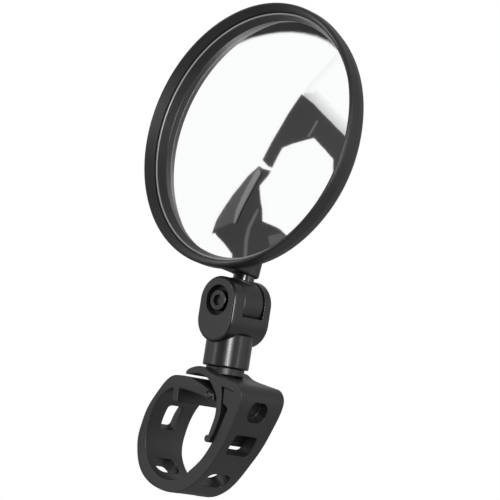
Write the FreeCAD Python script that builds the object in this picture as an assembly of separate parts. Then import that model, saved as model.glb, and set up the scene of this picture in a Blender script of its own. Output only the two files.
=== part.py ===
import FreeCAD, Part
import math
import os

os.makedirs("parts", exist_ok=True)
V = FreeCAD.Vector

# ---- saved frame: origin on the handlebar axis, bar along Y, Z up the stem, -Y = the way the mirror looks ----
# ---- drawing frame: the same directions, with the bar axis at X = BAR_X, Z = BAR_Z ----
# ---- driving dimensions (mm) ----
BAR_R = 11.2            # clamp bore of the strap loop, for a 22.2 mm bar
BAR_X = -1.0            # bar axis in the drawing frame
BAR_Z = -0.3
STRAP_W = 18.0          # strap width at the buckle, along the bar
STRAP_W0 = 15.0         # strap width round the lower half of the loop
SLOT_W = 9.2            # strap slot, across the strap
SLOT_L = 5.6            # strap slot, along the strap
SLOT_Y = -0.5           # slot row centre across the strap

STEM_X = 7.8            # stem and knuckle axis
STEM_R = 6.72
STEM_Z0 = 22.85         # lower end of the stem
HINGE_Z = 41.65         # knuckle hinge axis height
CHEEK_R = 7.08
CHEEK_DROP = 5.0        # lower centre of the cheek outline below the hinge axis
CHEEK_Y = 7.67          # outer face of the screw side cheek
CHEEK_YR = 8.1          # outer face of the nut side cheek
CHEEK_EDGE = 0.9        # rounding of the outer cheek edge
TONGUE_Y0 = -3.35
TONGUE_Y1 = 4.55
TONGUE_R = 6.95
GAP = 0.35              # running gap each side of the tongue
RECESS_R = 4.42
RECESS_DEPTH = 2.3

SCREW_R = 2.0           # M4 hinge screw
NECK_R = 3.1            # swivel pin
NECK_Y = 0.8            # swivel pin axis at the hinge height
LEAN = 7.41             # backward lean of the swivel pin and the mirror, degrees
HEAD_UP = 47.34         # mirror centre above the hinge, along the lean
AXIS_BACK = 11.21       # swivel pin axis behind the bezel step plane

LIP_R = 39.75           # bezel front lip
LIP_F = 2.9
STEP_R = 36.95          # bezel inner step
REAR_R = 38.4           # rear edge of the rim
REAR_F = -4.3
DOME_F = -15.3          # back of the shell
WALL = 1.6
GLASS_R = 36.9
GLASS_F = -2.9          # front of the glass at its edge
GLASS_T = 1.8
GASKET_T = 0.8
GLASS_CURVE = 450.0     # convex radius of the glass
BOSS_R = 4.2

SPIGOT_R = 3.6
SPIGOT_TOP = 25.6
COLLAR_R = 5.6          # collar the stem turns on

# ---- helpers ----
def poly_xz(pts, y0, y1):
    w = Part.makePolygon([V(x, y0, z) for x, z in pts] + [V(pts[0][0], y0, pts[0][1])])
    return Part.Face(w).extrude(V(0, y1 - y0, 0))

def spline_xz(pts, y):
    c = Part.BSplineCurve()
    c.interpolate([V(x, y, z) for x, z in pts])
    return c.toShape()

def line_xz(a, b, y):
    return Part.makeLine(V(a[0], y, a[1]), V(b[0], y, b[1]))

def cyl(r, p, d, h):
    return Part.makeCylinder(r, h, V(*p), V(*d))

def cyl_y(r, x, z, y0, y1):
    return Part.makeCylinder(r, y1 - y0, V(x, y0, z), V(0, 1, 0))

def cyl_z(r, x, y, z0, z1):
    return Part.makeCylinder(r, z1 - z0, V(x, y, z0), V(0, 0, 1))

def box(x0, x1, y0, y1, z0, z1):
    return Part.makeBox(x1 - x0, y1 - y0, z1 - z0, V(x0, y0, z0))

def revolve(pts):
    # profile of (radius, height) turned about Z
    w = Part.makePolygon([V(r, 0, f) for r, f in pts] + [V(pts[0][0], 0, pts[0][1])])
    return Part.Face(w).revolve(V(0, 0, 0), V(0, 0, 1), 360)

def fillet(shape, radius, pick):
    edges = [e for e in shape.Edges if pick(e)]
    if not edges:
        return shape
    try:
        out = shape.makeFillet(radius, edges)
        if out.isValid() and out.Volume > 0:
            return out
    except Exception:
        pass
    return shape

def centre(e):
    return e.BoundBox.Center

def clean(s):
    s = s.removeSplitter()
    if s.ShapeType == "Compound" and len(s.Solids) == 1:
        s = s.Solids[0]
    return s

def save(name, shape):
    if shape.ShapeType == "Compound" and len(shape.Solids) == 1:
        shape = shape.Solids[0]
    shape = shape.copy()
    shape.translate(V(-BAR_X, 0, -BAR_Z))
    shape.exportStep("parts/%s.step" % name)
    print(name, shape.ShapeType, len(shape.Solids), shape.isValid(), round(shape.Volume, 1))

def stadium(r, drop, y0, y1):
    a = cyl_y(r, STEM_X, HINGE_Z, y0, y1)
    b = cyl_y(r, STEM_X, HINGE_Z - drop, y0, y1)
    c = box(STEM_X - r, STEM_X + r, y0, y1, HINGE_Z - drop, HINGE_Z)
    return a.fuse([b, c]).removeSplitter()

# head frame: x = X, y = up along the lean, z = the way the mirror looks
lean = math.radians(LEAN)
M = V(0, math.sin(lean), math.cos(lean))
N = V(0, -math.cos(lean), math.sin(lean))
PIN0 = V(STEM_X, NECK_Y, HINGE_Z)                 # swivel pin axis at the hinge
HEAD_C = PIN0 + M * HEAD_UP + N * AXIS_BACK       # centre of the mirror, in the bezel step plane
HEAD = FreeCAD.Placement(FreeCAD.Matrix(
    1, M.x * 0, 0, HEAD_C.x,
    0, M.y, N.y, HEAD_C.y,
    0, M.z, N.z, HEAD_C.z,
    0, 0, 0, 1))

def to_head(s):
    s = s.copy()
    s.transformShape(HEAD.toMatrix())
    return s

# ======================= mirror head =======================
# convex glass
sag_r = GLASS_CURVE
apex = GLASS_F + sag_r - math.sqrt(sag_r ** 2 - GLASS_R ** 2)
ball = Part.makeSphere(sag_r, V(0, 0, apex - sag_r))
disc = Part.makeCylinder(GLASS_R, 8, V(0, 0, GLASS_F - GLASS_T), V(0, 0, 1))
glass = disc.common(ball)
glass = fillet(glass, 0.25, lambda e: e.BoundBox.ZLength < 0.01 and abs(centre(e).z - GLASS_F) < 0.05)
save("mirror_glass", to_head(clean(glass)))

# gasket ring behind the glass
g0 = GLASS_F - GLASS_T
gasket = revolve([(31.5, g0 - GASKET_T), (36.2, g0 - GASKET_T), (36.2, g0), (31.5, g0)])
save("glass_gasket", to_head(gasket))

# snap-in bezel: front lip, sloping face, groove, inner step, skirt
bez = revolve([
    (LIP_R - 0.12, LIP_F - 0.45), (LIP_R - 0.38, LIP_F - 0.08), (LIP_R - 0.62, LIP_F), (LIP_R - 0.88, LIP_F - 0.12),
    (STEP_R + 0.68, 0.38), (STEP_R + 0.58, -0.28), (STEP_R + 0.42, -0.28), (STEP_R + 0.36, 0.0), (STEP_R + 0.22, 0.12), (STEP_R + 0.04, 0.08),
    (STEP_R - 0.12, -0.12), (35.8, GLASS_F + 0.16), (35.8, GLASS_F + 0.05), (37.15, GLASS_F + 0.02),
    (37.15, -3.6), (37.55, -3.6), (37.8, -3.2), (38.0, -2.75), (37.8, -2.3), (37.8, -0.6), (LIP_R, -0.6), (LIP_R, LIP_F - 0.95)])
save("front_bezel", to_head(bez))

# shell: domed cup with the swivel boss at the bottom
DOME_R, DOME_EDGE = 34.0, -8.1
sr = (DOME_R ** 2 + (DOME_EDGE - DOME_F) ** 2) / (2 * (DOME_EDGE - DOME_F))
def dome(r, f0):
    # height of the dome at radius r, moved inward by f0
    return DOME_F + f0 + (sr - math.sqrt(sr * sr - r * r))
body = revolve([(0.0, -0.65), (0.0, DOME_F)] + [(r, dome(r, 0)) for r in (3, 6, 9, 12, 15, 18, 21, 24, 27, 30, 32)]
               + [(DOME_R, DOME_EDGE), (35.2, -7.5), (36.4, -6.5), (37.5, -5.3), (REAR_R + 0.05, REAR_F + 0.1), (38.85, -3.4), (39.25, -2.2), (39.55, -1.1), (LIP_R - 0.1, -0.65)])
blen0 = -HEAD_UP + 8.35                                     # lower end of the boss, in the head frame
by1 = -19.0
boss = Part.makeCylinder(BOSS_R, by1 - blen0, V(0, blen0, -AXIS_BACK), V(0, 1, 0))
boss = fillet(boss, 0.7, lambda e: e.BoundBox.YLength < 0.01 and abs(centre(e).y - blen0) < 0.01)
fair = Part.makeCone(BOSS_R, 1.6, 11.0, V(0, by1, -AXIS_BACK), V(0, 1, 0))
web = Part.makeBox(8.7, by1 - blen0 - 0.25, AXIS_BACK - 3.3, V(-4.9, blen0 + 0.25, -AXIS_BACK))
web = fillet(web, 0.7, lambda e: abs(centre(e).y - blen0 - 0.25) < 0.01 and (abs(centre(e).x - 3.8) < 0.01 or abs(centre(e).x + 4.9) < 0.01))
body = body.fuse([boss, fair, web])
# hollow behind the glass, clear of the boss
ledge = g0 - GASKET_T - 0.02
hollow = revolve([(0.0, ledge + 0.01), (33.4, ledge + 0.01), (32.4, dome(32.4, WALL))]
                 + [(r, dome(r, WALL)) for r in (30, 27, 24, 21, 18, 15, 12, 9, 6, 3)] + [(0.0, DOME_F + WALL)])
keep = Part.makeCylinder(BOSS_R + 0.2, by1 - blen0 + 1.5, V(0, blen0, -AXIS_BACK), V(0, 1, 0))
hollow = hollow.cut(keep)
seat = revolve([(0.0, 0.5), (0.0, ledge), (36.3, ledge), (37.1, -4.75), (37.1, -3.7), (37.6, -3.7), (37.85, -3.2), (38.05, -2.75), (37.85, -2.3), (37.85, 0.5)])
shell = body.cut(seat).cut(hollow)
shell = shell.cut(Part.makeCylinder(3.65, 15.0, V(0, blen0 + 0.9, -AXIS_BACK), V(0, 1, 0)))
shell = shell.cut(Part.makeCylinder(NECK_R + 0.07, 15.0, V(0, blen0 - 1.0, -AXIS_BACK), V(0, 1, 0)))
save("head_shell", to_head(clean(shell)))

# bush pressed into the boss
bush0, bush1 = blen0 + 0.92, blen0 + 11.4
bush = Part.makeCylinder(3.65, bush1 - bush0, V(0, bush0, -AXIS_BACK), V(0, 1, 0)).cut(
    Part.makeCylinder(NECK_R + 0.05, bush1 - bush0, V(0, bush0, -AXIS_BACK), V(0, 1, 0)))
save("neck_bush", to_head(bush))

# swivel pin: collar in the tongue, smooth neck, clip groove
pin_low, pin_high = 3.1, bush1 + HEAD_UP + 2.4
pin = Part.makeCylinder(NECK_R, pin_high - pin_low, PIN0 + M * pin_low, M)
pin = fillet(pin, 0.4, lambda e: abs((centre(e) - PIN0).dot(M) - pin_high) < 0.01)
cg = bush1 + HEAD_UP + 0.75
pin = pin.cut(Part.makeCylinder(NECK_R + 1, 0.7, PIN0 + M * cg, M).cut(Part.makeCylinder(2.4, 0.7, PIN0 + M * cg, M)))
save("swivel_pin", clean(pin))

# retaining clip above the bush
clip = Part.makeCylinder(3.5, 0.55, PIN0 + M * (cg + 0.08), M).cut(Part.makeCylinder(2.42, 0.55, PIN0 + M * (cg + 0.08), M))
slot = Part.makeBox(1.6, 6, 3, V(-0.8, 1.0, -1))
slot.transformShape(FreeCAD.Placement(PIN0 + M * cg, FreeCAD.Rotation(V(0, 0, 1), M)).toMatrix())
save("pin_clip", clean(clip.cut(slot)))

# ======================= knuckle =======================
# tongue: barrel on the hinge screw carrying the swivel pin
ton = cyl_y(TONGUE_R, STEM_X, HINGE_Z, TONGUE_Y0, TONGUE_Y1)
ton = fillet(ton, 0.5, lambda e: e.BoundBox.YLength < 0.01)
collar = Part.makeCylinder(NECK_R + 0.55, 3.6, PIN0 + M * 3.6, M)
ton = ton.fuse(collar.common(cyl_y(7.35, STEM_X, HINGE_Z, TONGUE_Y0, TONGUE_Y1)))
ton = ton.cut(cyl_y(SCREW_R + 0.06, STEM_X, HINGE_Z, TONGUE_Y0 - 1, TONGUE_Y1 + 1))
ton = ton.cut(Part.makeCylinder(NECK_R, 8.0, PIN0 + M * pin_low, M))
save("knuckle_tongue", clean(ton))

# fork: two stadium cheeks, web and stem in one moulding
fork = stadium(CHEEK_R, CHEEK_DROP, -CHEEK_Y, CHEEK_YR)
fork = fillet(fork, CHEEK_EDGE, lambda e: abs(centre(e).y + CHEEK_Y) < 0.01 or abs(centre(e).y - CHEEK_YR) < 0.01)
cav = cyl_y(TONGUE_R + 0.3, STEM_X, HINGE_Z, TONGUE_Y0 - GAP, TONGUE_Y1 + GAP)
cav = cav.fuse(box(STEM_X - 12, STEM_X + 12, TONGUE_Y0 - GAP, TONGUE_Y1 + GAP, HINGE_Z - 3.75, HINGE_Z + 12))
fork = fork.cut(cav)
stem = cyl_z(STEM_R, STEM_X, 0, STEM_Z0, HINGE_Z - CHEEK_DROP - 4.2)
stem = fillet(stem, 0.45, lambda e: abs(centre(e).z - STEM_Z0) < 0.01 and e.BoundBox.ZLength < 0.01)
fork = fork.fuse(stem)
fork = fork.cut(cyl_y(SCREW_R + 0.05, STEM_X, HINGE_Z, -12, 12))
fork = fork.cut(cyl_y(RECESS_R, STEM_X, HINGE_Z, -CHEEK_Y - 1, -CHEEK_Y + RECESS_DEPTH))
# hexagonal pocket for the nut
def hexagon(af, x, z, y0, y1, turn=0.0):
    r = af / math.sqrt(3)
    pts = [(x + r * math.cos(math.radians(60 * i + turn)), z + r * math.sin(math.radians(60 * i + turn))) for i in range(6)]
    return poly_xz(pts, y0, y1)
fork = fork.cut(hexagon(7.05, STEM_X, HINGE_Z, CHEEK_YR - 1.75, CHEEK_YR + 1, 30))
# friction disc seats
fork = fork.cut(cyl_y(5.2, STEM_X, HINGE_Z, TONGUE_Y0 - GAP - 0.35, TONGUE_Y0 - GAP + 0.01))
fork = fork.cut(cyl_y(5.2, STEM_X, HINGE_Z, TONGUE_Y1 + GAP - 0.01, TONGUE_Y1 + GAP + 0.25))
# spigot socket and insert bore
fork = fork.cut(cyl_z(SPIGOT_R + 0.05, STEM_X, 0, STEM_Z0 - 1, SPIGOT_TOP + 0.55))
fork = fork.cut(cyl_z(2.6, STEM_X, 0, SPIGOT_TOP, 32.6))
save("fork_body", clean(fork))

# friction discs, one each side of the tongue
fd = []
fd.append(cyl_y(5.2, STEM_X, HINGE_Z, TONGUE_Y0 - GAP - 0.35, TONGUE_Y0 - 0.1).cut(cyl_y(2.3, STEM_X, HINGE_Z, -9, 9)))
fd.append(cyl_y(5.2, STEM_X, HINGE_Z, TONGUE_Y1 + 0.1, TONGUE_Y1 + GAP + 0.25).cut(cyl_y(2.3, STEM_X, HINGE_Z, -9, 9)))
save("friction_discs", Part.makeCompound(fd))

# washer, disc spring, socket screw, nut
ry = -CHEEK_Y + RECESS_DEPTH
washer = cyl_y(4.1, STEM_X, HINGE_Z, ry - 0.45, ry).cut(cyl_y(2.15, STEM_X, HINGE_Z, -12, 12))
save("screw_washer", washer)
head0 = ry - 0.45 - 1.75
screw = cyl_y(3.05, STEM_X, HINGE_Z, head0, ry - 0.45)
screw = fillet(screw, 0.35, lambda e: abs(centre(e).y - head0) < 0.01 and e.BoundBox.YLength < 0.01)
screw = screw.fuse(cyl_y(SCREW_R, STEM_X, HINGE_Z, ry - 0.5, CHEEK_YR - 0.25))
screw = screw.cut(hexagon(3.0, STEM_X, HINGE_Z, head0 - 1, head0 + 1.0, 12))
save("hinge_screw", clean(screw))
nut = hexagon(7.0, STEM_X, HINGE_Z, CHEEK_YR - 1.75, CHEEK_YR - 0.15, 30).cut(cyl_y(SCREW_R, STEM_X, HINGE_Z, -12, 12))
nut = nut.common(Part.makeCone(3.75, 4.35, 0.6, V(STEM_X, CHEEK_YR - 0.15, HINGE_Z), V(0, -1, 0)).fuse(cyl_y(4.35, STEM_X, HINGE_Z, CHEEK_YR - 1.75, CHEEK_YR - 0.75)))
save("hinge_nut", clean(nut))

# ======================= swivel base =======================
insert = cyl_z(2.6, STEM_X, 0, SPIGOT_TOP + 0.6, 32.4).cut(cyl_z(1.5, STEM_X, 0, 20, 34))
for zz in (28.2, 30.4):
    insert = insert.cut(cyl_z(3.2, STEM_X, 0, zz, zz + 0.5).cut(cyl_z(2.35, STEM_X, 0, zz, zz + 0.5)))
save("stem_insert", clean(insert))

# strap end and free end heights used by the buckle
PLATE = [(1.3, 19.35), (1.2, 19.9), (1.6, 20.5), (3.0, 21.35), (5.2, 21.98), (7.0, 22.15), (8.6, 21.8), (10.3, 20.95), (12.6, 20.25), (15.6, 19.75), (18.6, 19.3), (21.1, 18.9)]
UNDER = [(21.1, 16.2), (18.4, 16.85), (15.9, 17.35)]
LEAF_R = [(16.3, 15.8), (16.6, 14.0), (16.95, 11.2), (17.0, 8.8), (16.4, 5.9), (15.6, 3.5), (14.95, 2.3)]
LEAF_L = [(13.75, 2.4), (14.1, 3.7), (14.8, 6.3), (15.35, 8.9), (15.2, 11.6), (14.6, 14.2), (13.1, 16.3), (11.5, 18.0), (9.9, 19.1), (7.6, 19.8), (5.2, 19.9), (3.2, 19.6)]

def closed_profile(chains, y0, y1):
    edges = []
    flat = []
    for c in chains:
        edges.append(spline_xz(c, y0) if len(c) > 2 else line_xz(c[0], c[1], y0))
    for i, c in enumerate(chains):
        n = chains[(i + 1) % len(chains)]
        if math.hypot(c[-1][0] - n[0][0], c[-1][1] - n[0][1]) > 1e-6:
            edges.append(line_xz(c[-1], n[0], y0))
    w = Part.Wire(Part.__sortEdges__(edges))
    return Part.Face(w).extrude(V(0, y1 - y0, 0))

HW = STRAP_W / 2
buckle = closed_profile([PLATE, UNDER, LEAF_R, LEAF_L], -HW, HW)
bead = cyl_y(1.05, 13.6, 1.95, -HW, HW)
buckle = buckle.fuse(bead)
buckle = buckle.fuse(cyl_z(SPIGOT_R, STEM_X, 0, 20.6, SPIGOT_TOP))
buckle = buckle.fuse(cyl_z(COLLAR_R, STEM_X, 0, 20.8, STEM_Z0 - 0.1))
# ears that hold the anchor pin
for s in (-1, 1):
    y0, y1 = (5.4, 7.0) if s > 0 else (-7.0, -5.4)
    ear = box(17.3, 20.3, y0, y1, 13.6, 17.2).fuse(cyl_y(1.5, 18.8, 13.6, y0, y1))
    buckle = buckle.fuse(ear)
buckle = buckle.cut(cyl_y(1.0, 18.8, 13.7, -7.2, 7.2))
buckle = buckle.cut(cyl_z(1.57, STEM_X, 0, 18, 27))
buckle = buckle.cut(Part.makeCone(2.95, 1.57, 1.5, V(STEM_X, 0, 20.0), V(0, 0, 1)).fuse(cyl_z(2.95, STEM_X, 0, 18, 20.0)))
save("strap_buckle", clean(buckle))

# countersunk screw up through the spigot, thin washer on top of the spigot
cs = Part.makeCone(2.8, 1.5, 1.42, V(STEM_X, 0, 20.08), V(0, 0, 1))
cs = cs.fuse(cyl_z(1.5, STEM_X, 0, 21.4, 31.0))
cs = cs.cut(Part.makeBox(3.4, 0.7, 0.6, V(STEM_X - 1.7, -0.35, 20.07))).cut(Part.makeBox(0.7, 3.4, 0.6, V(STEM_X - 0.35, -1.7, 20.07)))
save("swivel_screw", clean(cs))
sw = cyl_z(3.4, STEM_X, 0, SPIGOT_TOP + 0.1, SPIGOT_TOP + 0.53).cut(cyl_z(1.6, STEM_X, 0, 20, 34))
save("swivel_washer", sw)

# anchor pin for the fixed strap end
save("anchor_pin", cyl_y(1.0, 18.8, 13.7, -6.9, 6.9))

# ======================= strap =======================
A0, A1 = 172.0, 318.0       # part of the loop that is a true circle on the bar
a0r, a1r = math.radians(A0), math.radians(A1)

def on_bar(r, a):
    return (BAR_X + r * math.cos(a), BAR_Z + r * math.sin(a))

# outer surface, from the shoulder at the buckle down the flank, round the bottom and over the free end
OUTER = [(21.15, 18.95), (22.6, 18.35), (23.8, 17.1), (24.35, 15.6), (24.3, 13.6), (23.6, 10.9), (22.3, 7.5), (20.9, 4.1), (19.4, 1.0), (17.6, -2.0), (15.5, -5.0),
         (13.1, -8.1), (10.3, -11.0), (7.3, -13.1), (4.2, -14.45), (1.0, -15.0), (-2.7, -14.75), (-6.2, -13.95), (-9.5, -12.5), (-12.6, -9.9), (-14.5, -6.6), (-15.4, -3.1),
         (-15.35, 0.2), (-14.45, 3.6), (-13.15, 7.3), (-11.05, 10.8), (-8.45, 14.2), (-6.35, 16.6), (-4.1, 18.25), (-1.1, 18.75), (1.5, 18.75), (4.15, 18.3), (6.9, 17.5), (9.6, 16.55), (12.2, 15.4), (13.2, 14.9)]
IN_LEFT = [(13.6, 12.9), (12.0, 13.0), (8.6, 13.8), (5.0, 14.45), (1.6, 14.9), (-1.6, 15.05), (-4.0, 14.6), (-6.6, 13.2), (-8.5, 11.3), (-10.1, 8.8), (-11.3, 5.6), on_bar(BAR_R, a0r)]
IN_RIGHT = [on_bar(BAR_R, a1r), (9.9, -5.5), (12.1, -3.0), (14.1, -0.1), (16.3, 4.0), (18.0, 7.7), (19.2, 10.4)]
TOP_IN = [(19.2, 10.4), (19.25, 11.3), (18.5, 11.9), (17.35, 12.35)]

def sp(pts, y):
    c = Part.BSplineCurve()
    c.interpolate([V(x, y, z) for x, z in pts])
    return c.toShape()

def strap_face(y):
    m = 0.5 * (a0r + a1r)
    ends = [V(p[0], y, p[1]) for p in (on_bar(BAR_R, a0r), on_bar(BAR_R, m), on_bar(BAR_R, a1r))]
    e = [sp(OUTER, y), line_xz(OUTER[-1], IN_LEFT[0], y), sp(IN_LEFT, y), Part.Arc(*ends).toShape(), sp(IN_RIGHT, y), sp(TOP_IN, y)]
    e.append(line_xz(TOP_IN[-1], (17.35, 16.9), y))
    e.append(line_xz((17.35, 16.9), (21.15, 16.1), y))
    e.append(line_xz((21.15, 16.1), (21.15, 18.95), y))
    return Part.Face(Part.Wire(Part.__sortEdges__(e)))

H0 = STRAP_W0 / 2
ZA, ZB = -4.0, 16.0         # the strap widens between these heights

strap = strap_face(-HW).extrude(V(0, STRAP_W, 0))
# transverse rib on the inside, at the free end
strap = strap.fuse(box(-3.0, -0.9, -HW, HW, 11.05, 15.6))
for s in (-1, 1):
    w = [V(-30, s * H0, -30), V(-30, s * H0, ZA), V(-30, s * HW, ZB), V(-30, s * (HW + 4), ZB), V(-30, s * (HW + 4), -30)]
    strap = strap.cut(Part.Face(Part.makePolygon(w + [w[0]])).extrude(V(70, 0, 0)))

# slots: centre on the strap, direction through it, length along it, width and centre across it, corner radius
def slot_at(a, r=13.0):
    return (BAR_X + r * math.cos(math.radians(a)), BAR_Z + r * math.sin(math.radians(a)), a)

SLOTS = [(22.6, 11.5, -20.0, 6.2, 7.4, SLOT_Y, 2.6), (18.0, 1.9, -27.0, SLOT_L + 1.2, SLOT_W, SLOT_Y, 1.2), slot_at(322.5) + (SLOT_L, SLOT_W, SLOT_Y, 2.4), slot_at(271.0) + (SLOT_L, SLOT_W, SLOT_Y, 1.2),
         slot_at(222.5) + (5.3, SLOT_W, SLOT_Y, 2.4), slot_at(146.5) + (7.4, 6.0, 0.15, 1.2), (4.2, 16.4, 83.0, 4.6, 8.0, SLOT_Y, 1.0)]
for x, z, ang, length, width, yc, rc in SLOTS:
    b = Part.makeBox(9, width, length, V(-4.5, yc - width / 2, -length / 2))
    if x > 21:
        b = Part.makeBox(6.0, width, length, V(-2.2, yc - width / 2, -length / 2))
    b = fillet(b, rc, lambda e: e.BoundBox.YLength < 0.01 and e.BoundBox.ZLength < 0.01)
    b.transformShape(FreeCAD.Placement(V(x, 0, z), FreeCAD.Rotation(V(0, 1, 0), -ang)).toMatrix())
    strap = strap.cut(b)
# pockets for the buckle ears and the pin
for s in (-1, 1):
    y0, y1 = (5.3, 7.1) if s > 0 else (-7.1, -5.3)
    strap = strap.cut(box(17.2, 20.4, y0, y1, 13.6, 18.2).fuse(cyl_y(1.6, 18.8, 13.6, y0, y1)))
strap = strap.cut(cyl_y(1.0, 18.8, 13.7, -7.1, 7.1))
# recess for the latch pin head at the free end
LX, LZ = 11.6, 14.35
strap = strap.cut(cyl_y(0.9, LX, LZ, -HW - 1, HW + 1))
strap = strap.cut(cyl_y(1.25, LX, LZ, -HW - 1, -HW + 0.5))
strap = strap.cut(cyl_y(1.25, LX, LZ, HW - 0.5, HW + 1))
save("strap", clean(strap))

# stiffening pin through the free end
lp = cyl_y(0.9, LX, LZ, -HW + 0.1, HW - 0.1)
lp = fillet(lp, 0.25, lambda e: e.BoundBox.YLength < 0.01)
save("latch_pin", lp)
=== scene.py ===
import bpy, math
from mathutils import Vector, Matrix
from mathutils.geometry import tessellate_polygon


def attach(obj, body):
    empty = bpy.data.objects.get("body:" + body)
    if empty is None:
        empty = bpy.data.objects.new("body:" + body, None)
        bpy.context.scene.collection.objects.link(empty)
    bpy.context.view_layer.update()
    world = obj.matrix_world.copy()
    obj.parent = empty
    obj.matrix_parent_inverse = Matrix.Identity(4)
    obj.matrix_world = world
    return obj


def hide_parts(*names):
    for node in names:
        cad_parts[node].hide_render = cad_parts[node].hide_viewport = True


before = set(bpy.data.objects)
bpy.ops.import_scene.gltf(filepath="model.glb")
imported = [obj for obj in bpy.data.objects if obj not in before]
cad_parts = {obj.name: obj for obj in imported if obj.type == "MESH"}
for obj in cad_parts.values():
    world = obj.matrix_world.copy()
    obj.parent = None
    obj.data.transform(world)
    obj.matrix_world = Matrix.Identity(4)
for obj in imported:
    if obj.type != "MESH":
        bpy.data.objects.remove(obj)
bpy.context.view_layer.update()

# ---------------------------------------------------------------- camera
H = Vector((8.8, 0.0, 41.95))            # hinge centre, mm
AZ, EL, RO = math.radians(44.081), math.radians(-3.026), math.radians(8.850)
PX_MM, TX, TY, DIST = 3.464, -4.195, -15.405, 1000.0
b = Vector((math.sin(AZ) * math.cos(EL), -math.cos(AZ) * math.cos(EL), math.sin(EL)))
r0 = Vector((math.cos(AZ), math.sin(AZ), 0.0))
u0 = Vector((-math.sin(AZ) * math.sin(EL), math.cos(AZ) * math.sin(EL), math.cos(EL)))
R = r0 * math.cos(RO) + u0 * math.sin(RO)
U = -r0 * math.sin(RO) + u0 * math.cos(RO)
CAM = (H - (R * TX + U * TY) + b * DIST) * 0.001
cd = bpy.data.cameras.new("photo_camera")
cd.sensor_fit = "HORIZONTAL"
cd.sensor_width = 36.0
cd.lens = PX_MM * DIST / 500.0 * 36.0
cd.clip_start = 0.01
cd.clip_end = 50.0
cam = bpy.data.objects.new("photo_camera", cd)
bpy.context.scene.collection.objects.link(cam)
cam.matrix_world = Matrix(((R.x, U.x, b.x, CAM.x), (R.y, U.y, b.y, CAM.y), (R.z, U.z, b.z, CAM.z), (0, 0, 0, 1)))
bpy.context.scene.camera = cam

# ---------------------------------------------------------------- head frame
LEAN = math.radians(7.41)
M = Vector((0, math.sin(LEAN), math.cos(LEAN)))
N = Vector((0, -math.cos(LEAN), math.sin(LEAN)))
X = Vector((1, 0, 0))
PIN0 = Vector((8.8, 0.8, 41.95))
HC = (PIN0 + M * 47.34 + N * 11.21) * 0.001      # mirror centre, m


def ray_mm(px, py):
    f = PX_MM * DIST
    d = R * ((px - 250) / f) + U * (-(py - 250) / f) - b
    return d.normalized()


def mirror_hit(px, py, off=-2.1):
    """Point of the glass plane seen at that place of the view."""
    d = ray_mm(px, py)
    p0 = HC + N * off * 0.001
    t = (p0 - CAM).dot(N) / d.dot(N)
    return CAM + d * t, d


# ---------------------------------------------------------------- materials
def new_mat(name):
    m = bpy.data.materials.new(name)
    m.use_nodes = True
    nt = m.node_tree
    nt.nodes.clear()
    out = nt.nodes.new("ShaderNodeOutputMaterial")
    bs = nt.nodes.new("ShaderNodeBsdfPrincipled")
    nt.links.new(bs.outputs[0], out.inputs[0])
    return m, nt, bs


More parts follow.
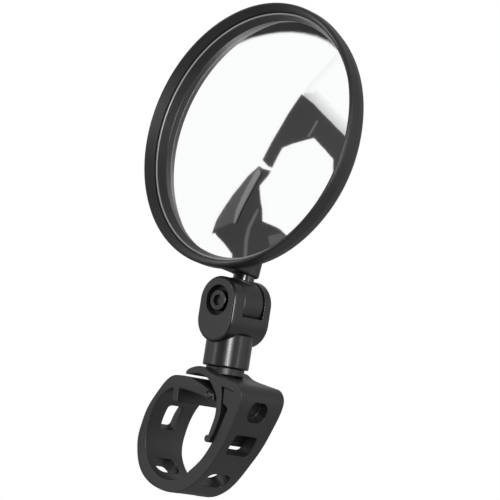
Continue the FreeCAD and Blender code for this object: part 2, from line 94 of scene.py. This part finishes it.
def plastic(name, base, rough=0.42, spec=0.5, grain=0.35, mottle=0.12, scale=900.0, bevel=0.25, scratch=0.06, dust=0.04, bump=0.12):
    """Moulded plastic or rubber: fine grain, faint mottling, worn edges, dust, handling marks."""
    m, nt, bs = new_mat(name)
    N_, L = nt.nodes, nt.links
    tc = N_.new("ShaderNodeTexCoord")
    big = N_.new("ShaderNodeTexNoise"); big.inputs["Scale"].default_value = 90.0; big.inputs["Detail"].default_value = 4.0
    fine = N_.new("ShaderNodeTexNoise"); fine.inputs["Scale"].default_value = scale * 3; fine.inputs["Detail"].default_value = 3.0
    vor = N_.new("ShaderNodeTexVoronoi"); vor.inputs["Scale"].default_value = scale * 2.2
    for t in (big, fine, vor):
        L.new(tc.outputs["Object"], t.inputs["Vector"])
    # colour
    c1 = N_.new("ShaderNodeMix"); c1.data_type = "RGBA"
    c1.inputs["A"].default_value = (*[v * (1 - mottle) for v in base], 1)
    c1.inputs["B"].default_value = (*[min(1, v * (1 + mottle)) for v in base], 1)
    L.new(big.outputs["Fac"], c1.inputs["Factor"])
    c2 = N_.new("ShaderNodeMix"); c2.data_type = "RGBA"; c2.blend_type = "MULTIPLY"
    c2.inputs["Factor"].default_value = 0.5
    rr = N_.new("ShaderNodeMapRange"); rr.inputs["To Min"].default_value = 0.82; rr.inputs["To Max"].default_value = 1.18
    L.new(fine.outputs["Fac"], rr.inputs["Value"])
    L.new(c1.outputs["Result"], c2.inputs["A"])
    L.new(rr.outputs["Result"], c2.inputs["B"])
    # dust settles on faces that look up
    geo = N_.new("ShaderNodeNewGeometry")
    sep = N_.new("ShaderNodeSeparateXYZ"); L.new(geo.outputs["Normal"], sep.inputs[0])
    up = N_.new("ShaderNodeMapRange"); up.inputs["From Min"].default_value = 0.3; up.inputs["From Max"].default_value = 1.0; up.inputs["To Max"].default_value = dust
    L.new(sep.outputs["Z"], up.inputs["Value"])
    dn = N_.new("ShaderNodeMath"); dn.operation = "MULTIPLY"; L.new(up.outputs["Result"], dn.inputs[0]); L.new(big.outputs["Fac"], dn.inputs[1])
    c3 = N_.new("ShaderNodeMix"); c3.data_type = "RGBA"; c3.inputs["B"].default_value = (0.30, 0.29, 0.28, 1)
    L.new(dn.outputs[0], c3.inputs["Factor"]); L.new(c2.outputs["Result"], c3.inputs["A"])
    L.new(c3.outputs["Result"], bs.inputs["Base Color"])
    # roughness
    r1 = N_.new("ShaderNodeMapRange"); r1.inputs["To Min"].default_value = rough - 0.06; r1.inputs["To Max"].default_value = rough + 0.08
    L.new(big.outputs["Fac"], r1.inputs["Value"])
    wav = N_.new("ShaderNodeTexNoise"); wav.inputs["Scale"].default_value = 400.0; wav.inputs["Distortion"].default_value = 3.0
    mp = N_.new("ShaderNodeMapping"); mp.inputs["Scale"].default_value = (1.0, 1.0, 0.06); mp.inputs["Rotation"].default_value = (0.4, 0.7, 0.2)
    L.new(tc.outputs["Object"], mp.inputs["Vector"]); L.new(mp.outputs[0], wav.inputs["Vector"])
    sc = N_.new("ShaderNodeMapRange"); sc.inputs["From Min"].default_value = 0.62; sc.inputs["From Max"].default_value = 0.72; sc.inputs["To Max"].default_value = scratch
    L.new(wav.outputs["Fac"], sc.inputs["Value"])
    ra = N_.new("ShaderNodeMath"); ra.operation = "ADD"; L.new(r1.outputs["Result"], ra.inputs[0]); L.new(sc.outputs["Result"], ra.inputs[1])
    L.new(ra.outputs[0], bs.inputs["Roughness"])
    bs.inputs["Specular IOR Level"].default_value = spec
    # relief
    mixh = N_.new("ShaderNodeMath"); mixh.operation = "ADD"
    L.new(fine.outputs["Fac"], mixh.inputs[0])
    vm = N_.new("ShaderNodeMath"); vm.operation = "MULTIPLY"; vm.inputs[1].default_value = grain; L.new(vor.outputs["Distance"], vm.inputs[0])
    L.new(vm.outputs[0], mixh.inputs[1])
    bp = N_.new("ShaderNodeBump"); bp.inputs["Strength"].default_value = bump; bp.inputs["Distance"].default_value = 0.00006
    L.new(mixh.outputs[0], bp.inputs["Height"])
    if bevel > 0:
        bv = N_.new("ShaderNodeBevel"); bv.samples = 6; bv.inputs["Radius"].default_value = bevel * 0.001
        L.new(bv.outputs[0], bp.inputs["Normal"])
    L.new(bp.outputs[0], bs.inputs["Normal"])
    return m


def metal(name, base, rough=0.28, brushed=True, bevel=0.1):
    """Turned or drawn metal: fine turning lines, tarnish spots, soft edges."""
    m, nt, bs = new_mat(name)
    N_, L = nt.nodes, nt.links
    tc = N_.new("ShaderNodeTexCoord")
    n1 = N_.new("ShaderNodeTexNoise"); n1.inputs["Scale"].default_value = 350.0; n1.inputs["Detail"].default_value = 5.0
    L.new(tc.outputs["Object"], n1.inputs["Vector"])
    mp = N_.new("ShaderNodeMapping"); mp.inputs["Scale"].default_value = (1.0, 12.0, 1.0)
    L.new(tc.outputs["Object"], mp.inputs["Vector"])
    n2 = N_.new("ShaderNodeTexNoise"); n2.inputs["Scale"].default_value = 1500.0 if brushed else 2500.0; L.new(mp.outputs[0], n2.inputs["Vector"])
    c = N_.new("ShaderNodeMix"); c.data_type = "RGBA"
    c.inputs["A"].default_value = (*[v * 0.82 for v in base], 1); c.inputs["B"].default_value = (*[min(1, v * 1.12) for v in base], 1)
    L.new(n1.outputs["Fac"], c.inputs["Factor"]); L.new(c.outputs["Result"], bs.inputs["Base Color"])
    r = N_.new("ShaderNodeMapRange"); r.inputs["To Min"].default_value = rough - 0.08; r.inputs["To Max"].default_value = rough + 0.14
    L.new(n1.outputs["Fac"], r.inputs["Value"]); L.new(r.outputs["Result"], bs.inputs["Roughness"])
    bs.inputs["Metallic"].default_value = 1.0
    bp = N_.new("ShaderNodeBump"); bp.inputs["Strength"].default_value = 0.15; bp.inputs["Distance"].default_value = 0.00003
    L.new(n2.outputs["Fac"], bp.inputs["Height"])
    bv = N_.new("ShaderNodeBevel"); bv.samples = 6; bv.inputs["Radius"].default_value = bevel * 0.001
    L.new(bv.outputs[0], bp.inputs["Normal"]); L.new(bp.outputs[0], bs.inputs["Normal"])
    return m


def glass_mirror(name):
    """Silvered convex glass with the faintest haze and wipe marks."""
    m, nt, bs = new_mat(name)
    N_, L = nt.nodes, nt.links
    tc = N_.new("ShaderNodeTexCoord")
    n1 = N_.new("ShaderNodeTexNoise"); n1.inputs["Scale"].default_value = 45.0; n1.inputs["Detail"].default_value = 6.0
    n1.inputs["Distortion"].default_value = 1.2
    L.new(tc.outputs["Object"], n1.inputs["Vector"])
    c = N_.new("ShaderNodeMix"); c.data_type = "RGBA"
    c.inputs["A"].default_value = (0.955, 0.962, 0.965, 1); c.inputs["B"].default_value = (0.975, 0.98, 0.98, 1)
    L.new(n1.outputs["Fac"], c.inputs["Factor"]); L.new(c.outputs["Result"], bs.inputs["Base Color"])
    r = N_.new("ShaderNodeMapRange"); r.inputs["To Min"].default_value = 0.015; r.inputs["To Max"].default_value = 0.035
    L.new(n1.outputs["Fac"], r.inputs["Value"]); L.new(r.outputs["Result"], bs.inputs["Roughness"])
    bs.inputs["Metallic"].default_value = 1.0
    bs.inputs["Coat Weight"].default_value = 0.1
    bs.inputs["Coat Roughness"].default_value = 0.02
    return m


DK = 0.006
MATS = {
    "shell_plastic": plastic("shell_black_plastic", (DK, DK, DK * 1.02), rough=0.46, bevel=0.3),
    "bezel_plastic": plastic("bezel_black_plastic", (DK, DK, DK * 1.02), rough=0.36, bevel=0.12, bump=0.06),
    "fork_plastic": plastic("fork_black_plastic", (0.006, 0.006, 0.0062), rough=0.27, bevel=0.3),
    "tongue_plastic": plastic("tongue_black_plastic", (0.006, 0.006, 0.0062), rough=0.42, bevel=0.2),
    "buckle_plastic": plastic("buckle_black_plastic", (0.006, 0.006, 0.0062), rough=0.40, bevel=0.4),
    "strap_rubber": plastic("strap_black_rubber", (0.006, 0.006, 0.0062), rough=0.40, bevel=0.55, grain=0.5, bump=0.2),
    "gasket_rubber": plastic("gasket_black_rubber", (0.03, 0.03, 0.03), rough=0.7, bevel=0.1),
    "bush_polymer": plastic("bush_ivory_acetal", (0.55, 0.53, 0.47), rough=0.35, bevel=0.1),
    "washer_polymer": plastic("washer_white_nylon", (0.6, 0.6, 0.58), rough=0.4, bevel=0.1),
    "friction_fibre": plastic("friction_brown_fibre", (0.12, 0.075, 0.045), rough=0.75, bevel=0.05, grain=0.9, bump=0.5),
    "pin_black": plastic("pin_black_gloss", (0.006, 0.006, 0.0062), rough=0.2, bevel=0.1, bump=0.03, spec=0.7),
    "spring_steel": metal("spring_steel_clip", (0.35, 0.34, 0.33), rough=0.35),
    "washer_steel": metal("washer_black_steel", (0.03, 0.03, 0.03), rough=0.4),
    "screw_steel": metal("screw_black_steel", (0.055, 0.055, 0.058), rough=0.30),
    "nut_steel": metal("nut_plated_steel", (0.42, 0.41, 0.40), rough=0.33),
    "insert_brass": metal("insert_brass", (0.72, 0.53, 0.25), rough=0.3),
    "swivel_screw_steel": metal("swivel_screw_steel", (0.45, 0.44, 0.43), rough=0.3),
    "anchor_steel": metal("anchor_steel_pin", (0.40, 0.39, 0.38), rough=0.32),
    "latch_steel": metal("latch_dark_pin", (0.06, 0.06, 0.06), rough=0.3),
    "mirror_glass": glass_mirror("silvered_mirror_glass"),
}
def head_coords(nt):
    """Radius from the mirror axis and height above the step plane, both in mm, as node sockets."""
    N_, L = nt.nodes, nt.links
    tc = N_.new("ShaderNodeTexCoord")
    q = N_.new("ShaderNodeVectorMath"); q.operation = "SUBTRACT"; q.inputs[1].default_value = tuple(HC)
    L.new(tc.outputs["Object"], q.inputs[0])
    dots = []
    for ax in (X, M, N):
        d = N_.new("ShaderNodeVectorMath"); d.operation = "DOT_PRODUCT"; d.inputs[1].default_value = tuple(ax * 1000.0)
        L.new(q.outputs["Vector"], d.inputs[0]); dots.append(d.outputs["Value"])
    cx = N_.new("ShaderNodeCombineXYZ"); L.new(dots[0], cx.inputs[0]); L.new(dots[1], cx.inputs[1])
    ln = N_.new("ShaderNodeVectorMath"); ln.operation = "LENGTH"; L.new(cx.outputs[0], ln.inputs[0])
    return ln.outputs["Value"], dots[2]


def ring_mask(nt, sock, lo, hi, soft):
    """1 between lo and hi, fading over soft."""
    N_, L = nt.nodes, nt.links
    a = N_.new("ShaderNodeMapRange"); a.inputs["From Min"].default_value = lo - soft; a.inputs["From Max"].default_value = lo
    c = N_.new("ShaderNodeMapRange"); c.inputs["From Min"].default_value = hi; c.inputs["From Max"].default_value = hi + soft; c.inputs["To Min"].default_value = 1.0; c.inputs["To Max"].default_value = 0.0
    m = N_.new("ShaderNodeMath"); m.operation = "MULTIPLY"
    L.new(sock, a.inputs["Value"]); L.new(sock, c.inputs["Value"]); L.new(a.outputs["Result"], m.inputs[0]); L.new(c.outputs["Result"], m.inputs[1])
    return m.outputs[0]


def tint(mat, mask, colour):
    """Mix a colour over the base colour where the mask is 1."""
    nt = mat.node_tree
    bs = next(n for n in nt.nodes if n.type == "BSDF_PRINCIPLED")
    old = bs.inputs["Base Color"].links[0].from_socket
    mx = nt.nodes.new("ShaderNodeMix"); mx.data_type = "RGBA"
    mx.inputs["B"].default_value = (*colour, 1)
    nt.links.new(mask, mx.inputs["Factor"]); nt.links.new(old, mx.inputs["A"]); nt.links.new(mx.outputs["Result"], bs.inputs["Base Color"])


bz = MATS["bezel_plastic"]
rad_, hgt_ = head_coords(bz.node_tree)
# painted highlight: a lighter grey ring in the bezel colour along the step next to the glass, standing in for the
# bright edge line
tint(bz, ring_mask(bz.node_tree, rad_, 36.86, 37.33, 0.08), (0.20, 0.20, 0.20))
rec = {
    "mirror_glass": "mirror_glass", "glass_gasket": "gasket_rubber", "front_bezel": "bezel_plastic", "head_shell": "shell_plastic",
    "neck_bush": "bush_polymer", "swivel_pin": "pin_black", "pin_clip": "spring_steel", "knuckle_tongue": "tongue_plastic",
    "fork_body": "fork_plastic", "friction_discs": "friction_fibre", "screw_washer": "washer_steel", "hinge_screw": "screw_steel",
    "hinge_nut": "nut_steel", "stem_insert": "insert_brass", "strap_buckle": "buckle_plastic", "swivel_screw": "swivel_screw_steel",
    "swivel_washer": "washer_polymer", "anchor_pin": "anchor_steel", "strap": "strap_rubber", "latch_pin": "latch_steel",
}
for name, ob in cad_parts.items():
    slot = rec.get(name)
    mat = MATS.get(slot)
    if mat is None:
        print("no finish for", name, slot)
        continue
    ob.data.materials.clear()
    ob.data.materials.append(mat)

# ---------------------------------------------------------------- glass: smooth convex disc in place of the faceted one
def glass_disc():
    big, edge_r, t = 450.0, 36.9, 1.8
    apex = -2.9 + big - math.sqrt(big * big - edge_r * edge_r)

    def cap(r):
        return apex - (big - math.sqrt(big * big - r * r))

    prof = [(r, cap(r)) for r in (0.6, 2, 4, 7, 10, 13, 16, 19, 22, 25, 28, 30, 32, 33.5, 35, 36, 36.5)]
    prof += [(36.66, cap(36.5) - 0.02), (36.78, cap(36.5) - 0.07), (36.86, cap(36.5) - 0.16), (36.9, cap(36.5) - 0.3), (36.9, -4.0), (36.9, -2.9 - t + 0.15), (36.75, -2.9 - t), (30, -2.9 - t), (15, -2.9 - t), (0.6, -2.9 - t)]
    seg = 192
    vs, fs = [], []
    o = HC * 1000.0

    def pt(r, z, k):
        a_ = 2 * math.pi * k / seg
        return tuple((o + X * (r * math.cos(a_)) + M * (r * math.sin(a_)) + N * z) * 0.001)

    top = len(vs); vs.append(pt(0, apex, 0))
    for r, z in prof:
        for k in range(seg):
            vs.append(pt(r, z, k))
    bot = len(vs); vs.append(pt(0, -2.9 - t, 0))
    for k in range(seg):
        n_ = (k + 1) % seg
        fs.append((top, 1 + n_, 1 + k))
        for i in range(len(prof) - 1):
            p_ = 1 + i * seg
            fs.append((p_ + k, p_ + n_, p_ + seg + n_, p_ + seg + k))
        p_ = 1 + (len(prof) - 1) * seg
        fs.append((p_ + k, p_ + n_, bot))
    me = bpy.data.meshes.new("glass_disc")
    me.from_pydata(vs, [], fs)
    me.validate()
    for f in me.polygons:
        f.use_smooth = True
    ob = bpy.data.objects.new("glass_disc", me)
    bpy.context.scene.collection.objects.link(ob)
    me.materials.append(MATS["mirror_glass"])
    import bmesh
    bm = bmesh.new(); bm.from_mesh(me); bmesh.ops.recalc_face_normals(bm, faces=bm.faces); bm.to_mesh(me); bm.free()
    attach(ob, "head")
    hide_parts("mirror_glass")
    return ob


glass_disc()

# ---------------------------------------------------------------- stage: white studio
def unit(v):
    return Vector(v).normalized()


# direction in which the middle of the mirror looks, seen from the camera
VIEW = -b
MIR = (VIEW - N * (2 * VIEW.dot(N))).normalized()

w = bpy.data.worlds.new("studio")
bpy.context.scene.world = w
w.use_nodes = True
wn, wl = w.node_tree.nodes, w.node_tree.links
wn.clear()
wout = wn.new("ShaderNodeOutputWorld")
seen = wn.new("ShaderNodeBackground"); seen.inputs[0].default_value = (1, 1, 1, 1); seen.inputs[1].default_value = 1.0
lit = wn.new("ShaderNodeBackground"); lit.inputs[0].default_value = (1, 1, 1, 1)
path = wn.new("ShaderNodeLightPath")
mixw = wn.new("ShaderNodeMixShader")
wl.new(path.outputs["Is Camera Ray"], mixw.inputs[0])
wl.new(lit.outputs[0], mixw.inputs[1])
wl.new(seen.outputs[0], mixw.inputs[2])
wl.new(mixw.outputs[0], wout.inputs[0])
wtc = wn.new("ShaderNodeTexCoord")


def lobe(direction, c_in, c_out, strength):
    """A soft round panel of light in one direction of the room."""
    d = wn.new("ShaderNodeVectorMath"); d.operation = "DOT_PRODUCT"
    d.inputs[1].default_value = tuple(direction.normalized())
    wl.new(wtc.outputs["Generated"], d.inputs[0])
    r = wn.new("ShaderNodeMapRange"); r.interpolation_type = "SMOOTHSTEP"
    r.inputs["From Min"].default_value = math.cos(math.radians(c_out)); r.inputs["From Max"].default_value = math.cos(math.radians(c_in))
    r.inputs["To Max"].default_value = strength
    wl.new(d.outputs["Value"], r.inputs["Value"])
    return r.outputs["Result"]


AMB = 0.46
total = None
for spec_ in [(MIR, 15, 28, 1.0 - AMB), (R * 1.0 + U * 0.1 + b * 0.35, 10, 42, 0.45), (b, 12, 58, -0.28), (X * -0.694 - M * 0.627 - N * 0.351, 10, 50, -0.30)]:
    o = lobe(*spec_)
    if total is None:
        total = o
    else:
        a = wn.new("ShaderNodeMath"); a.operation = "ADD"
        wl.new(total, a.inputs[0]); wl.new(o, a.inputs[1]); total = a.outputs[0]
a = wn.new("ShaderNodeMath"); a.operation = "ADD"; a.inputs[1].default_value = AMB
wl.new(total, a.inputs[0])
wl.new(a.outputs[0], lit.inputs[1])


def emitter(name, verts, faces, value, noise=0.0, camera=False):
    me = bpy.data.meshes.new(name)
    me.from_pydata([tuple(v) for v in verts], [], faces)
    ob = bpy.data.objects.new(name, me)
    bpy.context.scene.collection.objects.link(ob)
    m = bpy.data.materials.new(name)
    m.use_nodes = True
    nt = m.node_tree
    nt.nodes.clear()
    out = nt.nodes.new("ShaderNodeOutputMaterial")
    e = nt.nodes.new("ShaderNodeEmission")
    e.inputs["Strength"].default_value = 1.0
    nt.links.new(e.outputs[0], out.inputs[0])
    if noise:
        tc = nt.nodes.new("ShaderNodeTexCoord")
        n = nt.nodes.new("ShaderNodeTexNoise"); n.inputs["Scale"].default_value = 14.0; n.inputs["Detail"].default_value = 3.0
        nt.links.new(tc.outputs["Object"], n.inputs["Vector"])
        r = nt.nodes.new("ShaderNodeMapRange"); r.inputs["To Min"].default_value = value * (1 - noise); r.inputs["To Max"].default_value = value * (1 + noise)
        nt.links.new(n.outputs["Fac"], r.inputs["Value"])
        nt.links.new(r.outputs["Result"], e.inputs["Color"])
    else:
        e.inputs["Color"].default_value = (value, value, value, 1)
    me.materials.append(m)
    ob.visible_camera = camera
    ob.visible_diffuse = False
    ob.visible_shadow = False
    return ob


GL_R = 0.450
GL_APEX = -2.9e-3 + GL_R - math.sqrt(GL_R ** 2 - 0.0369 ** 2)
GL_C = HC + N * (GL_APEX - GL_R)


def bounce(px, py, dist):
    """Where a line of sight lands in the room after the convex glass has turned it back."""
    d = ray_mm(px, py)
    oc = CAM - GL_C
    bq = oc.dot(d)
    disc = bq * bq - (oc.dot(oc) - GL_R ** 2)
    t = -bq - math.sqrt(max(disc, 0.0))
    p = CAM + d * t
    n = (p - GL_C).normalized()
    r = d - n * (2 * d.dot(n))
    return p + r * dist


def card(name, outline, value, dist, noise=0.25):
    """A glowing card seen only in reflections, painting a piece of the surroundings into the mirror; laid out by where
    the mirror shows it.
    """
    pts = [bounce(140 + x / 5.0, y / 5.0, dist) for x, y in outline]
    tris = tessellate_polygon([[Vector((x, y, 0)) for x, y in outline]])
    return emitter(name, pts, [tuple(t) for t in tris], value, noise)


# painted reflection in the mirror: glowing cards seen only by reflected rays draw two dark moulded parts on a white
# table
card("dark_upper", [(808, 470), (870, 520), (935, 590), (1000, 655), (1038, 692), (1060, 700), (1060, 800), (1010, 860), (978, 885), (966, 872), (965, 795), (925, 750),
                    (870, 690), (830, 700), (760, 720), (712, 740), (690, 780), (660, 840), (640, 830), (612, 800), (640, 745), (670, 690), (700, 640), (740, 570), (780, 510)], 0.055, 0.40)
card("dark_lower", [(595, 830), (612, 842), (655, 855), (640, 880), (598, 930), (603, 1000), (612, 1050), (612, 1105), (660, 1125), (700, 1145), (735, 1180), (720, 1240), (640, 1290),
                    (560, 1310), (462, 1310), (460, 1270), (420, 1215), (385, 1180), (375, 1165), (360, 1170), (365, 1150), (385, 1095), (420, 1040), (460, 980), (500, 930), (540, 880)], 0.050, 0.40)
# lighter and darker streaks inside the painted reflection; light_band is a painted highlight stripe on the lower dark
# part, dark_line the thin dark line beside it
card("dark_lower_left", [(590, 845), (560, 865), (500, 935), (462, 985), (425, 1042), (390, 1097), (372, 1150), (455, 1115), (475, 1112), (540, 980)], 0.10, 0.395, 0.5)
card("light_band", [(596, 838), (575, 862), (520, 960), (480, 1050), (466, 1112), (478, 1118), (520, 1020), (570, 930), (604, 868)], 0.22, 0.39, 0.5)
card("dark_line", [(606, 862), (560, 945), (505, 1050), (476, 1118), (484, 1119), (512, 1055), (568, 948), (612, 866)], 0.012, 0.385, 0.2)
card("light_curve", [(588, 1040), (560, 1090), (535, 1140), (522, 1200), (518, 1300), (532, 1300), (540, 1200), (552, 1142), (575, 1095), (594, 1050)], 0.13, 0.39, 0.3)
card("light_patch", [(640, 1180), (700, 1165), (725, 1180), (690, 1215), (650, 1230)], 0.11, 0.39, 0.5)
card("upper_line", [(884, 600), (862, 640), (836, 682), (846, 684), (870, 645), (892, 606)], 0.15, 0.39, 0.3)
for k_ in range(5):
    # painted shade in the reflection: a faint grey line where the white table turns up behind the dark parts
    o_ = 9.0 * k_
    card("fold_line_%d" % k_, [(986 + o_, 262), (930 + o_, 328), (870 + o_, 395), (822 + o_, 462), (822 + o_ + 9, 466), (870 + o_ + 9, 400), (930 + o_ + 9, 334), (986 + o_ + 9, 268)], 0.93 + 0.014 * k_, 0.41, 0.02)
# painted shade in the reflection: grey steps fading towards white beside the upper dark part
EDGE_ = [(822, 466), (872, 518), (936, 588), (1002, 653), (1044, 690)]
for k_ in range(6):
    o_, q_ = 11.0 * k_ - 12.0, 11.0 * (k_ + 1) - 12.0
    card("shade_%d" % k_, [(x + 0.5 * o_, y - o_) for x, y in EDGE_] + [(x + 0.5 * q_, y - q_) for x, y in reversed(EDGE_)], 0.60 + 0.065 * k_, 0.42, 0.03)

# painted reflection: a dark crescent along the upper edge of the glass
RIM = [(160, 545), (200, 455), (262, 372), (330, 305), (400, 256), (480, 214), (560, 184), (640, 166), (700, 158), (760, 156), (820, 162), (880, 176), (940, 204), (990, 246), (1020, 285)]
OUT_ = [(90, 480), (130, 380), (200, 280), (290, 190), (390, 120), (500, 70), (640, 40), (760, 40), (880, 70), (980, 140), (1060, 240)]
card("dark_top", RIM[2:] + list(reversed(OUT_[2:])), 0.03, 0.40, 0.3)
for k_ in range(6):
    # soft lower edge of the dark arc
    t_ = k_ / 6.0
    row_a = [(x - 3 + 3 * t_, y + 10 * t_ * (1 + 1.5 * max(0.0, (600 - x) / 300.0))) for x, y in RIM[2:-1]]
    row_b = [(x - 3 + 3 * (t_ + 1 / 6.0), y + 10 * (t_ + 1 / 6.0) * (1 + 1.5 * max(0.0, (600 - x) / 300.0))) for x, y in RIM[2:-1]]
    card("soft_edge_%d" % k_, row_a + list(reversed(row_b)), 0.06 + 0.15 * k_, 0.405, 0.05)

# pale floor, well below the part
fl = emitter("floor", [(-3, -3, -0.09), (3, -3, -0.09), (3, 3, -0.09), (-3, 3, -0.09)], [(0, 1, 2, 3)], 1.0, 0.0, camera=True)
fl.visible_glossy = False


def area(name, pos, target, size, power, size_y=None, glossy=True):
    l = bpy.data.lights.new(name, "AREA")
    l.energy = power
    l.shape = "RECTANGLE"
    l.size = size
    l.size_y = size_y or size
    ob = bpy.data.objects.new(name, l)
    bpy.context.scene.collection.objects.link(ob)
    ob.location = pos
    ob.rotation_euler = (Vector(target) - Vector(pos)).to_track_quat("-Z", "Y").to_euler()
    ob.visible_camera = False
    return ob


C = Vector((0.0088, 0.0, 0.06))


def at(az, el, dist):
    """A place in the room at that turn to the right of the camera and that height above it."""
    t = math.radians(44.081 + az)
    e = math.radians(el)
    return C + Vector((math.sin(t) * math.cos(e), -math.cos(t) * math.cos(e), math.sin(e))) * dist


area("strip_right", at(6, 7, 0.8), C, 0.15, 6.3, 0.38)
area("strip_left", at(-66, 4, 0.8), C, 0.08, 1.2, 0.8)
area("strip_mid", at(58, 10, 0.8), C, 0.08, 0.9, 0.8)

bpy.context.scene.view_settings.view_transform = "Standard"
bpy.context.scene.view_settings.look = "None"
bpy.context.scene.view_settings.exposure = 0.0
bpy.context.scene.view_settings.gamma = 1.0
